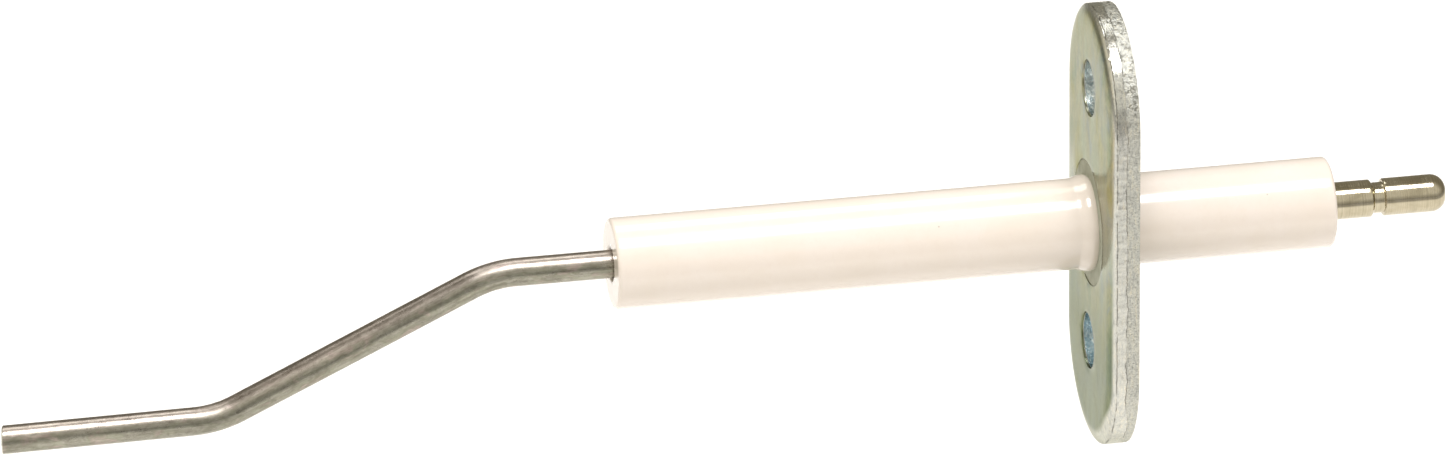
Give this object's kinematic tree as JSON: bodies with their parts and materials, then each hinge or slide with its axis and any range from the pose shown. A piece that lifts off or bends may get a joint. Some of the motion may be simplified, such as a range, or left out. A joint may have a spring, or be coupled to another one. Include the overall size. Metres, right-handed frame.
{
  "type": "flame sensor probe",
  "caption": "Flame sensing electrode: a bent steel rod through a glazed ceramic tube, with an obround screw flange and a round snap-in connector pin.",
  "frame": {"origin": "midway between the two screw holes, on the flange's seating face; the insulator's axis runs 0.9 mm below it", "axes": "+X along the insulator towards the connector pin, +Z along the flange away from the rod's tip, +Y across the flange"},
  "size_m": [0.1555, 0.0216, 0.0492],
  "materials": {
    "heat_resisting_steel": "drawn rod, satin, with long draw marks",
    "glazed_alumina": "white, glossy glaze",
    "zinc_plate": "zinc plated and passivated, half gloss, with a rough sheared edge",
    "nickel_plate": "bright nickel plate",
    "refractory_cement": "matt, fine grained"
  },
  "bodies": {
    "root": {"sensing_rod": "heat_resisting_steel", "insulator": "glazed_alumina", "mounting_flange": "zinc_plate", "flange_bond": "refractory_cement", "connector_pin": "nickel_plate", "rod_seal": "refractory_cement", "pin_seal": "refractory_cement"}
  },
  "joints": []
}
